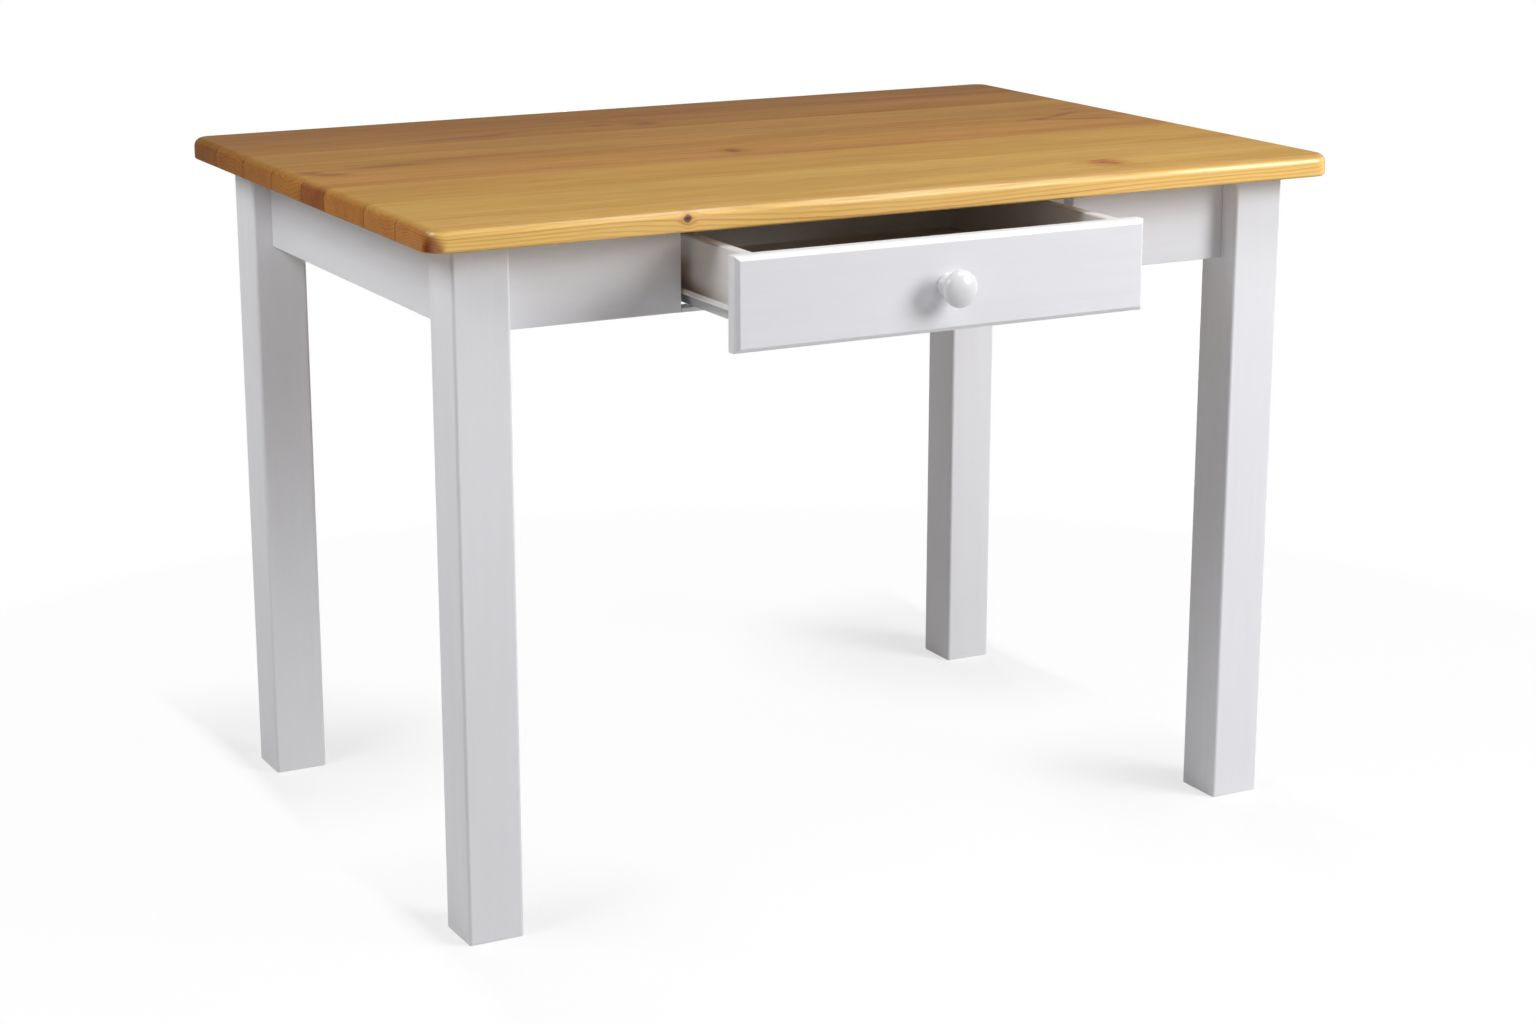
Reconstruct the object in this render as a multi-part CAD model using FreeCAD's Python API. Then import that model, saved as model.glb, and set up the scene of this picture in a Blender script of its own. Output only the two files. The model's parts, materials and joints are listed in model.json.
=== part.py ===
import FreeCAD, Part
import math
import os

from FreeCAD import Vector

# Table with a boarded top, four square legs and one drawer on roller runners.
# Millimetres, +X along the long side, +Y to the back, +Z up, modelled about the table's middle
# with the drawer part open, then moved so that the origin is under the middle of the whole box.

# Overall sizes
table_height = 770.0
top_length = 1100.0
top_depth = 750.0
top_thickness = 25.0
top_overhang = 40.0
cut_overrun = 2.0
fit_clearance = 0.1

# Table top
top_corner_radius = 22.0
top_upper_round = 10.0
top_lower_round = 3.0
board_width_shares = [0.117, 0.117, 0.157, 0.093, 0.128, 0.128, 0.128, 0.132]

# Legs
leg_size = 63.0
leg_edge_round = 4.0
leg_foot_chamfer = 2.0

# Aprons
apron_height = 96.0
apron_thickness = 20.0
apron_edge_round = 1.5
apron_recess = 22.0
front_apron_recess = 26.0

# Dowels
dowel_radius = 4.0
dowel_chamfer = 0.8
dowel_in_leg = 16.0
dowel_in_apron_end = 20.0
dowel_in_apron_face = 12.0
dowel_in_rail = 18.0
apron_dowel_height_shares = [0.25, 0.75]

# Drawer opening
opening_width = 486.0
upper_rail_height = 12.0
lower_rail_height = 5.0
rail_tenon_length = 8.0
rail_tenon_depth = 10.0
rail_dowel_radius = 3.0

# Corner blocks and hanger bolts
block_thickness = 25.0
block_height = 72.0
block_leg_gap = 18.0
bolt_radius = 4.0
bolt_in_leg = 38.0
bolt_past_nut = 4.0
washer_radius = 9.0
washer_thickness = 1.6
nut_width = 13.0
nut_height = 6.5
wing_screw_head_depth = 12.0
wing_screw_length = 27.0
wing_screw_height_shares = [0.22, 0.78]
block_top_screw_spacing = 48.0
block_top_screw_depth = 30.0

# Wood screws
screw_head_radius = 4.0
screw_head_height = 2.2
screw_shank_radius = 1.9
screw_tip_length = 3.5
screw_in_top = 14.0

# Angle brackets under the top
bracket_leg = 30.0
bracket_width = 20.0
bracket_steel = 2.0
bracket_hole_from_bend = 19.0
bracket_screw_length = 15.0
back_bracket_spacing = 400.0

# Guide rails beside the drawer
guide_rail_thickness = 22.0
guide_rail_height = 40.0
guide_dowel_height_shares = [0.27, 0.73]

# Roller runners
runner_steel = 1.2
runner_gap = 12.5
runner_height = 17.0
runner_flange = 10.5
runner_length = 350.0
runner_front_cutaway = 25.0
runner_above_apron = 1.5
roller_radius = 7.0
roller_width = 6.0
roller_from_guide = 3.2
roller_edge_chamfer = 0.6
roller_from_end = 10.0
roller_play = 0.3
rivet_radius = 2.5
rivet_head_radius = 4.0
rivet_head_height = 0.8
rivet_head_gap = 0.15
rivet_running_clearance = 0.05
ledge_over_runner = 0.8
ledge_from_guide = 1.5
ledge_end_notch = 6.0
drawer_runner_height = 14.0
drawer_runner_foot = 12.5
runner_end_gap = 2.0
runner_screw_length = 14.0
runner_screw_end_distance = 55.0

# Drawer
drawer_open = 115.0
drawer_box_depth = 345.0
drawer_side_height = 71.0
drawer_wall = 15.0
drawer_wall_round = 2.0
drawer_front_width = 496.0
drawer_front_height = 100.0
drawer_front_thickness = 18.0
drawer_front_drop = 20.0
drawer_front_bevel = 5.0
drawer_bottom_thickness = 4.0
drawer_groove_height = 10.0
drawer_groove_depth = 5.0
drawer_groove_play = 0.3
drawer_dowel_in_front = 11.0
drawer_dowel_in_wall = 20.0
drawer_dowel_in_side = 10.0
drawer_dowel_height_shares = [0.36, 0.8]
bottom_screw_length = 18.0
bottom_screw_place_shares = [0.15, 0.5, 0.85]

# Knob
knob_projection = 36.0
knob_base_radius = 12.8
knob_base_height = 3.0
knob_neck_radius = 10.2
knob_neck_height = 9.5
knob_root_radius = 11.0
knob_head_radius = 20.0
knob_head_half_depth = 11.0
knob_screw_radius = 2.0
knob_screw_head_radius = 4.0
knob_screw_head_height = 2.4
knob_screw_in_knob = 16.0

# Levels and faces that several pieces share
frame_top = table_height - top_thickness
apron_bottom = frame_top - apron_height
leg_outer_x = top_length / 2 - top_overhang
leg_outer_y = top_depth / 2 - top_overhang
leg_inner_x = leg_outer_x - leg_size
leg_inner_y = leg_outer_y - leg_size
side_outer_x = leg_outer_x - apron_recess
side_inner_x = side_outer_x - apron_thickness
back_outer_y = leg_outer_y - apron_recess
back_inner_y = back_outer_y - apron_thickness
front_outer_y = -(leg_outer_y - front_apron_recess)
front_inner_y = front_outer_y + apron_thickness
opening_edge = opening_width / 2
block_bottom = frame_top - block_height
bolt_level = frame_top - block_height / 2
runner_bottom = apron_bottom + runner_above_apron
ledge_bottom = runner_bottom + runner_height + ledge_over_runner
ledge_top = ledge_bottom + runner_steel
drawer_runner_bottom = ledge_top - drawer_runner_height
drawer_side_bottom = drawer_runner_bottom + runner_steel
drawer_side_top = drawer_side_bottom + drawer_side_height
drawer_outer_x = opening_edge - runner_gap
drawer_inner_x = drawer_outer_x - drawer_wall
drawer_front_back_y = front_outer_y - drawer_open
drawer_field_y = drawer_front_back_y - drawer_front_thickness
drawer_rear_y = drawer_front_back_y + drawer_box_depth
drawer_front_bottom = apron_bottom - drawer_front_drop
drawer_front_middle = drawer_front_bottom + drawer_front_height / 2
drawer_bottom_level = drawer_side_bottom + drawer_groove_height
drawer_bottom_top = drawer_bottom_level + drawer_bottom_thickness
knob_tip_y = drawer_field_y - knob_projection
rest_middle_y = (knob_tip_y + top_depth / 2) / 2

x_axis = Vector(1, 0, 0)
y_axis = Vector(0, 1, 0)
z_axis = Vector(0, 0, 1)
corners = {
    "front_left": (-1, -1),
    "front_right": (1, -1),
    "back_left": (-1, 1),
    "back_right": (1, 1),
}
sides = {"left": -1, "right": 1}
parts = {}


def block(x_ends, y_ends, z_ends):
    x_low, x_high = sorted(x_ends)
    y_low, y_high = sorted(y_ends)
    z_low, z_high = sorted(z_ends)
    return Part.makeBox(x_high - x_low, y_high - y_low, z_high - z_low, Vector(x_low, y_low, z_low))


def rod(start, direction, radius, length):
    return Part.makeCylinder(radius, length, start, direction)


def edges_along(solid, *axes):
    found = []
    for edge in solid.Edges:
        if isinstance(edge.Curve, Part.Line):
            if any(abs(edge.Curve.Direction.dot(axis)) > 1 - Part.Precision.confusion() for axis in axes):
                found.append(edge)
    return found


def edges_at_level(solid, level):
    return [edge for edge in solid.Edges if all(Part.Precision.confusion() > abs(vertex.Z - level)
                                                for vertex in edge.Vertexes)]


def turned(profile):
    # A solid of revolution about +Z from points (radius, height) that start and end on the axis.
    points = [Vector(radius, 0, height) for radius, height in profile]
    face = Part.Face(Part.makePolygon(points + points[:1]))
    return face.revolve(Vector(), z_axis, 360)


def placed(solid, point, direction):
    # Stands a solid that was made along -Z at a point, pointing in a direction.
    solid.Placement = FreeCAD.Placement(point, FreeCAD.Rotation(-z_axis, direction))
    return solid


def dowel(middle, direction, radius, before, after):
    start = middle - direction * before
    length = before + after
    pin = rod(start, direction, radius, length)
    ends = [edge for edge in pin.Edges if isinstance(edge.Curve, Part.Circle)]
    return pin.makeChamfer(dowel_chamfer, ends)


def dowel_hole(middle, direction, radius, before, after):
    start = middle - direction * (before + fit_clearance)
    return rod(start, direction, radius + fit_clearance, before + after + fit_clearance + fit_clearance)


def screw(point, direction, length):
    return placed(turned([
        (0, 0),
        (screw_head_radius, 0),
        (screw_shank_radius, -screw_head_height),
        (screw_shank_radius, screw_tip_length - length),
        (0, -length),
    ]), point, direction)


def screw_hole(point, direction, length, access):
    head = screw_head_radius + fit_clearance
    shank = screw_shank_radius + fit_clearance
    return placed(turned([
        (0, access),
        (head, access),
        (head, 0),
        (shank, -screw_head_height),
        (shank, screw_tip_length - length),
        (0, -length - fit_clearance),
    ]), point, direction)


def cut(names, tool):
    for name in names:
        parts[name] = parts[name].cut(tool)


def group(name, solids):
    parts[name] = Part.makeCompound(solids)


def fasten(name, places, length, access):
    # A group of like screws, each with its hole in the pieces that it passes through.
    solids = []
    for point, direction, held in places:
        solids.append(screw(point, direction, length))
        cut(held, screw_hole(point, direction, length, access))
    group(name, solids)


def peg(name, places, radius, before, after):
    # A group of like dowels, each with its hole in the pieces that it joins.
    solids = []
    for middle, direction, held in places:
        solids.append(dowel(middle, direction, radius, before, after))
        cut(held, dowel_hole(middle, direction, radius, before, after))
    group(name, solids)


def make_top():
    half_length = top_length / 2
    half_depth = top_depth / 2
    slab = block((-half_length, half_length), (-half_depth, half_depth), (frame_top, table_height))
    slab = slab.makeFillet(top_corner_radius, edges_along(slab, z_axis))
    slab = slab.makeFillet(top_upper_round, edges_at_level(slab, table_height))
    slab = slab.makeFillet(top_lower_round, edges_at_level(slab, frame_top))
    front = -top_depth / 2
    for number, share in enumerate(board_width_shares, start=1):
        back = front + top_depth * share
        strip = block((-top_length, top_length), (front, back), (0, table_height + cut_overrun))
        parts[f"top_board_{number}"] = slab.common(strip)
        front = back


def make_legs():
    for corner, (sx, sy) in corners.items():
        x_faces = (sx * leg_inner_x, sx * leg_outer_x)
        y_faces = (sy * leg_inner_y, sy * leg_outer_y)
        leg = block(x_faces, y_faces, (0, frame_top))
        leg = leg.makeFillet(leg_edge_round, edges_along(leg, z_axis))
        parts[f"leg_{corner}"] = leg.makeChamfer(leg_foot_chamfer, edges_at_level(leg, 0))


def eased_board(x_ends, y_ends, z_ends, *axes):
    board = block(x_ends, y_ends, z_ends)
    return board.makeFillet(apron_edge_round, edges_along(board, *axes))


def make_aprons():
    levels = (apron_bottom, frame_top)
    for side, sx in sides.items():
        faces = (sx * side_inner_x, sx * side_outer_x)
        parts[f"apron_{side}"] = eased_board(faces, (-leg_inner_y, leg_inner_y), levels, y_axis, z_axis)
        ends = (sx * opening_edge, sx * leg_inner_x)
        faces = (front_outer_y, front_inner_y)
        parts[f"apron_front_{side}"] = eased_board(ends, faces, levels, x_axis, z_axis)
    faces = (back_inner_y, back_outer_y)
    parts["apron_back"] = eased_board((-leg_inner_x, leg_inner_x), faces, levels, x_axis, z_axis)


def peg_aprons():
    places = []
    heights = [apron_bottom + apron_height * share for share in apron_dowel_height_shares]
    side_middle = side_inner_x + apron_thickness / 2
    for corner, (sx, sy) in corners.items():
        side = "left" if sx < 0 else "right"
        across = "apron_back" if sy > 0 else f"apron_front_{side}"
        across_inner = back_inner_y if sy > 0 else -front_inner_y
        across_middle = across_inner + apron_thickness / 2
        for height in heights:
            middle = Vector(sx * side_middle, sy * leg_inner_y, height)
            places.append((middle, y_axis * sy, [f"leg_{corner}", f"apron_{side}"]))
            middle = Vector(sx * leg_inner_x, sy * across_middle, height)
            places.append((middle, x_axis * sx, [f"leg_{corner}", across]))
    peg("apron_dowels", places, dowel_radius, dowel_in_apron_end, dowel_in_leg)


def make_opening_rails():
    faces = (front_outer_y, front_inner_y)
    rail_middle_y = front_outer_y + apron_thickness / 2
    levels = (frame_top - upper_rail_height, frame_top)
    parts["drawer_upper_rail"] = block((-opening_edge, opening_edge), faces, levels)
    places = []
    for side, sx in sides.items():
        middle = Vector(sx * opening_edge, rail_middle_y, frame_top - upper_rail_height / 2)
        places.append((middle, x_axis * sx, ["drawer_upper_rail", f"apron_front_{side}"]))
    peg("upper_rail_dowels", places, rail_dowel_radius, dowel_in_rail, dowel_in_rail)
    levels = (apron_bottom, apron_bottom + lower_rail_height)
    rail = block((-opening_edge, opening_edge), faces, levels)
    reach = opening_edge + rail_tenon_length
    tenon_faces = (rail_middle_y - rail_tenon_depth / 2, rail_middle_y + rail_tenon_depth / 2)
    parts["drawer_lower_rail"] = rail.fuse(block((-reach, reach), tenon_faces, levels)).removeSplitter()
    reach += fit_clearance
    tenon_faces = (tenon_faces[0] - fit_clearance, tenon_faces[1] + fit_clearance)
    levels = (apron_bottom - cut_overrun, apron_bottom + lower_rail_height + fit_clearance)
    cut(["apron_front_left", "apron_front_right"], block((-reach, reach), tenon_faces, levels))


def make_corner_blocks():
    bolts, washers, nuts, wing_screws, top_screws = [], [], [], [], []
    for corner, (sx, sy) in corners.items():
        side = "left" if sx < 0 else "right"
        across = "apron_back" if sy > 0 else f"apron_front_{side}"
        across_inner = back_inner_y if sy > 0 else -front_inner_y
        name = f"corner_block_{corner}"

        # Places in the corner: distance from the side apron, then from the apron across.
        def spot(from_side, from_across, level):
            return Vector(sx * (side_inner_x - from_side), sy * (across_inner - from_across), level)

        leg_from_side = side_inner_x - leg_inner_x
        leg_from_across = across_inner - leg_inner_y
        near = leg_from_side + leg_from_across + block_leg_gap
        far = near + block_thickness * math.sqrt(2)
        outline = [spot(near, 0, block_bottom), spot(far, 0, block_bottom),
                   spot(0, far, block_bottom), spot(0, near, block_bottom)]
        face = Part.Face(Part.makePolygon(outline + outline[:1]))
        parts[name] = face.extrude(z_axis * block_height)

        inward = Vector(-sx, -sy, 0).normalize()
        leg_corner = spot(leg_from_side, leg_from_across, bolt_level)
        seat = (far - leg_from_side - leg_from_across) / math.sqrt(2)
        bolt_length = bolt_in_leg + seat + washer_thickness + nut_height + bolt_past_nut
        bolt_start = leg_corner - inward * bolt_in_leg
        bolts.append(rod(bolt_start, inward, bolt_radius, bolt_length))
        hole_start = bolt_start - inward * fit_clearance
        bolt_hole = rod(hole_start, inward, bolt_radius + fit_clearance, bolt_length)
        cut([f"leg_{corner}", name], bolt_hole)
        washer = rod(leg_corner + inward * seat, inward, washer_radius, washer_thickness)
        washers.append(washer.cut(bolt_hole))
        nut_seat = leg_corner + inward * (seat + washer_thickness)
        nut_face = Part.Face(Part.makePolygon([
            Vector(nut_width / math.sqrt(3) * math.cos(turn * math.pi / 3),
                   nut_width / math.sqrt(3) * math.sin(turn * math.pi / 3), 0)
            for turn in range(7)
        ]))
        nuts.append(placed(nut_face.extrude(-z_axis * nut_height), nut_seat, inward).cut(bolt_hole))

        wing = (near + far) / 2
        for share in wing_screw_height_shares:
            level = block_bottom + block_height * share
            head = spot(wing_screw_head_depth, wing, level)
            wing_screws.append((head, x_axis * sx, [name, f"apron_{side}"]))
            head = spot(wing, wing_screw_head_depth, level)
            wing_screws.append((head, y_axis * sy, [name, across]))
        aside = block_top_screw_spacing / 2 / math.sqrt(2)
        head_level = frame_top - block_top_screw_depth
        for place in (spot(wing / 2 + aside, wing / 2 - aside, head_level),
                      spot(wing / 2 - aside, wing / 2 + aside, head_level)):
            top_screws.append((place, z_axis, [name] + boards_over(place.y)))
    group("hanger_bolts", bolts)
    group("hanger_bolt_washers", washers)
    group("hanger_bolt_nuts", nuts)
    fasten("corner_block_screws", wing_screws, wing_screw_length, block_thickness)
    fasten("corner_block_top_screws", top_screws, block_top_screw_depth + screw_in_top, block_height)


def boards_over(y):
    # The boards of the top that a screw at this depth can reach.
    names = []
    front = -top_depth / 2
    for number, share in enumerate(board_width_shares, start=1):
        back = front + top_depth * share
        if front - screw_head_radius < y < back + screw_head_radius:
            names.append(f"top_board_{number}")
        front = back
    return names


def make_top_brackets():
    # Each place is the middle of the bend, with the direction away from the apron's inner face.
    places = [
        (Vector(-side_inner_x, 0, frame_top), x_axis, "apron_left"),
        (Vector(side_inner_x, 0, frame_top), -x_axis, "apron_right"),
        (Vector(-back_bracket_spacing / 2, back_inner_y, frame_top), -y_axis, "apron_back"),
        (Vector(back_bracket_spacing / 2, back_inner_y, frame_top), -y_axis, "apron_back"),
    ]
    brackets, screws = [], []
    for bend, away, apron in places:
        half = y_axis * (bracket_width / 2) if away.x else x_axis * (bracket_width / 2)
        profile = [bend, bend + away * bracket_leg, bend + away * bracket_leg - z_axis * bracket_steel,
                   bend + away * bracket_steel - z_axis * bracket_steel,
                   bend + away * bracket_steel - z_axis * bracket_leg, bend - z_axis * bracket_leg]
        outline = [point - half for point in profile]
        bracket = Part.Face(Part.makePolygon(outline + outline[:1])).extrude(half + half)
        up_point = bend + away * bracket_hole_from_bend - z_axis * bracket_steel
        in_point = bend + away * bracket_steel - z_axis * bracket_hole_from_bend
        for point, direction in ((up_point, z_axis), (in_point, -away)):
            bracket = bracket.cut(screw_hole(point, direction, bracket_screw_length, bracket_steel))
        brackets.append(bracket)
        screws.append((up_point, z_axis, boards_over(up_point.y)))
        screws.append((in_point, -away, [apron]))
    group("top_brackets", brackets)
    fasten("top_bracket_screws", screws, bracket_screw_length, bracket_steel)
    level = frame_top - upper_rail_height
    places = []
    for sx in sides.values():
        point = Vector(sx * opening_edge / 2, front_outer_y + apron_thickness / 2, level)
        places.append((point, z_axis, ["drawer_upper_rail"] + boards_over(point.y)))
    fasten("upper_rail_screws", places, upper_rail_height + screw_in_top, cut_overrun)


def make_guide_rails():
    places = []
    for side, sx in sides.items():
        name = f"guide_rail_{side}"
        faces = (sx * opening_edge, sx * (opening_edge + guide_rail_thickness))
        levels = (apron_bottom, apron_bottom + guide_rail_height)
        parts[name] = block(faces, (front_inner_y, back_inner_y), levels)
        middle_x = sx * (opening_edge + guide_rail_thickness / 2)
        for share in guide_dowel_height_shares:
            level = apron_bottom + guide_rail_height * share
            front = Vector(middle_x, front_inner_y, level)
            places.append((front, -y_axis, [name, f"apron_front_{side}"]))
            places.append((Vector(middle_x, back_inner_y, level), y_axis, [name, "apron_back"]))
    peg("guide_rail_dowels", places, dowel_radius, dowel_in_rail, dowel_in_apron_face)


def rivet(point, direction, reach):
    # A headed rivet whose plain end is at the point, and whose head ends at the reach.
    neck = reach - rivet_head_height
    return placed(turned([
        (0, 0),
        (rivet_radius, 0),
        (rivet_radius, -neck),
        (rivet_head_radius, -neck),
        (rivet_head_radius, -reach),
        (0, -reach),
    ]), point, direction)


def roller(point, direction):
    wheel = rod(point, direction, roller_radius, roller_width)
    rims = [edge for edge in wheel.Edges if isinstance(edge.Curve, Part.Circle)]
    wheel = wheel.makeChamfer(roller_edge_chamfer, rims)
    return wheel.cut(rod(point, direction, rivet_radius + rivet_running_clearance, roller_width))


def make_cabinet_runners():
    # Fixed members: a channel on each guide rail, with a roller at its front end.
    front = front_inner_y + runner_end_gap
    back = front + runner_length
    top = runner_bottom + runner_height
    roller_level = top + ledge_over_runner - roller_play - roller_radius
    screw_level = runner_bottom + runner_height / 2
    rivets, screws = [], []
    for side, sx in sides.items():
        name = f"cabinet_runner_{side}"
        guide_x = sx * opening_edge

        def inward(distance):
            return guide_x - sx * distance

        flange = (guide_x, inward(runner_flange))
        web = block((guide_x, inward(runner_steel)), (front, back), (runner_bottom, top))
        foot = block(flange, (front, back), (runner_bottom, runner_bottom + runner_steel))
        lid = block(flange, (front + runner_front_cutaway, back), (top - runner_steel, top))
        parts[name] = web.fuse([foot, lid]).removeSplitter()
        roller_y = front + roller_from_end
        direction = x_axis * -sx
        hub = Vector(guide_x, roller_y, roller_level)
        cut([name], rod(hub, direction, rivet_radius + fit_clearance, runner_steel))
        reach = roller_from_guide + roller_width + rivet_head_gap + rivet_head_height
        rivets.append(rivet(hub, direction, reach))
        parts[f"cabinet_roller_{side}"] = roller(hub + direction * roller_from_guide, direction)
        for place in (front + runner_screw_end_distance, back - runner_screw_end_distance):
            point = Vector(inward(runner_steel), place, screw_level)
            screws.append((point, -direction, [name, f"guide_rail_{side}"]))
    group("cabinet_roller_rivets", rivets)
    fasten("cabinet_runner_screws", screws, runner_screw_length, cut_overrun)


def make_drawer_box():
    depth = (drawer_front_back_y, drawer_rear_y)
    groove_low = drawer_bottom_level - drawer_groove_play / 2
    groove_high = drawer_bottom_top + drawer_groove_play / 2
    reach = drawer_inner_x + drawer_groove_depth
    front_reach = drawer_front_back_y - drawer_groove_depth
    groove = block((-reach, reach), (front_reach, drawer_rear_y + cut_overrun), (groove_low, groove_high))
    for side, sx in sides.items():
        wall = block((sx * drawer_inner_x, sx * drawer_outer_x), depth, (drawer_side_bottom, drawer_side_top))
        top_edges = [edge for edge in edges_along(wall, y_axis) if edge.CenterOfMass.z > drawer_bottom_top]
        parts[f"drawer_side_{side}"] = wall.makeFillet(drawer_wall_round, top_edges)
    back_faces = (drawer_rear_y - drawer_wall, drawer_rear_y)
    back = block((-drawer_inner_x, drawer_inner_x), back_faces, (groove_high, drawer_side_top))
    top_edges = [edge for edge in edges_along(back, x_axis) if edge.CenterOfMass.z > drawer_front_middle]
    parts["drawer_back"] = back.makeFillet(drawer_wall_round, top_edges)
    parts["drawer_front"] = drawer_front()
    cut(["drawer_side_left", "drawer_side_right", "drawer_front"], groove)
    play = drawer_groove_play
    parts["drawer_bottom"] = block((play - reach, reach - play), (front_reach + play, drawer_rear_y),
                                   (drawer_bottom_level, drawer_bottom_top))
    places = []
    for share in bottom_screw_place_shares:
        x = -drawer_inner_x + (drawer_inner_x + drawer_inner_x) * share
        point = Vector(x, drawer_rear_y - drawer_wall / 2, drawer_bottom_level)
        places.append((point, z_axis, ["drawer_bottom", "drawer_back"]))
    fasten("drawer_bottom_screws", places, bottom_screw_length, cut_overrun)


def drawer_front():
    # A plain board with a bevel round its face.
    half = drawer_front_width / 2
    levels = (drawer_front_bottom, drawer_front_bottom + drawer_front_height)
    board = block((-half, half), (drawer_field_y, drawer_front_back_y), levels)
    face_edges = [edge for edge in edges_along(board, x_axis, z_axis)
                  if edge.CenterOfMass.y < drawer_field_y + drawer_front_bevel]
    return board.makeChamfer(drawer_front_bevel, face_edges)


def peg_drawer():
    levels = [drawer_side_bottom + drawer_side_height * share for share in drawer_dowel_height_shares]
    wall_middle = drawer_inner_x + drawer_wall / 2
    back_middle = drawer_rear_y - drawer_wall / 2
    front_places, back_places = [], []
    for side, sx in sides.items():
        wall = f"drawer_side_{side}"
        for level in levels:
            middle = Vector(sx * wall_middle, drawer_front_back_y, level)
            front_places.append((middle, -y_axis, [wall, "drawer_front"]))
            middle = Vector(sx * drawer_inner_x, back_middle, level)
            back_places.append((middle, x_axis * sx, [wall, "drawer_back"]))
    peg("drawer_front_dowels", front_places, dowel_radius, drawer_dowel_in_wall, drawer_dowel_in_front)
    peg("drawer_back_dowels", back_places, dowel_radius, drawer_dowel_in_wall, drawer_dowel_in_side)


def make_drawer_runners():
    # Moving members: a ledge that runs on the fixed roller, a web on the drawer side and a foot under it.
    front = drawer_front_back_y + runner_end_gap
    back = drawer_rear_y
    foot_top = drawer_runner_bottom + runner_steel
    roller_level = runner_bottom + runner_steel + roller_play + roller_radius
    rivets, screws = [], []
    for side, sx in sides.items():
        name = f"drawer_runner_{side}"
        wall_x = sx * drawer_outer_x
        web_x = sx * (drawer_outer_x + runner_steel)
        ledge_x = sx * (opening_edge - ledge_from_guide)
        foot_x = sx * (drawer_outer_x - drawer_runner_foot)
        web = block((wall_x, web_x), (front, back), (drawer_runner_bottom, ledge_top))
        ledge = block((wall_x, ledge_x), (front + ledge_end_notch, back), (ledge_bottom, ledge_top))
        foot = block((foot_x, web_x), (front, back), (drawer_runner_bottom, foot_top))
        parts[name] = web.fuse([ledge, foot]).removeSplitter()
        direction = x_axis * sx
        hub = Vector(wall_x, back - roller_from_end, roller_level)
        cut([name], rod(hub, direction, rivet_radius + fit_clearance, runner_steel))
        reach = runner_gap - roller_from_guide
        rivets.append(rivet(hub, direction, reach + rivet_head_gap + rivet_head_height))
        parts[f"drawer_roller_{side}"] = roller(hub + direction * (reach - roller_width), direction)
        middle_x = sx * (drawer_outer_x - drawer_runner_foot / 2)
        for place in (front + runner_screw_end_distance, back - runner_screw_end_distance):
            point = Vector(middle_x, place, drawer_runner_bottom)
            screws.append((point, z_axis, [name, f"drawer_side_{side}"]))
    group("drawer_roller_rivets", rivets)
    fasten("drawer_runner_screws", screws, runner_screw_length, cut_overrun)


def make_knob():
    # Turned ball knob: a small foot, a hollow neck and a flattened ball, made along -Z.
    foot_edge = Vector(knob_base_radius, 0, -knob_base_height)
    neck = Vector(knob_neck_radius, 0, -knob_neck_height)
    tip = Vector(0, 0, -knob_projection)
    head_center = Vector(0, 0, knob_head_half_depth - knob_projection)
    widest = head_center + x_axis * knob_head_radius
    turn = math.acos(knob_root_radius / knob_head_radius)
    head = Part.ArcOfEllipse(Part.Ellipse(widest, tip, head_center), -turn, math.pi / 2)
    outline = Part.Wire([
        Part.makeLine(Vector(), Vector(knob_base_radius, 0, 0)),
        Part.makeLine(Vector(knob_base_radius, 0, 0), foot_edge),
        Part.Arc(foot_edge, neck, head.StartPoint).toShape(),
        head.toBSpline().toShape(),
        Part.makeLine(tip, Vector()),
    ])
    center = Vector(0, drawer_field_y, drawer_front_middle)
    parts["drawer_knob"] = placed(Part.Face(outline).revolve(Vector(), z_axis, 360), center, -y_axis)
    shank = drawer_front_thickness + knob_screw_in_knob
    inside = Vector(0, drawer_front_back_y, drawer_front_middle)
    parts["knob_screw"] = placed(turned([
        (0, knob_screw_head_height),
        (knob_screw_head_radius, knob_screw_head_height),
        (knob_screw_head_radius, 0),
        (knob_screw_radius, 0),
        (knob_screw_radius, -shank),
        (0, -shank),
    ]), inside, -y_axis)
    hole = rod(inside, -y_axis, knob_screw_radius + fit_clearance, shank + fit_clearance)
    cut(["drawer_front", "drawer_knob"], hole)


def export_parts():
    os.makedirs("parts", exist_ok=True)
    for name, shape in parts.items():
        shape.translate(Vector(0, -rest_middle_y, 0))
        shape.exportStep(f"parts/{name}.step")


make_top()
make_legs()
make_aprons()
peg_aprons()
make_opening_rails()
make_corner_blocks()
make_top_brackets()
make_guide_rails()
make_cabinet_runners()
make_drawer_box()
peg_drawer()
make_drawer_runners()
make_knob()
export_parts()
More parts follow.
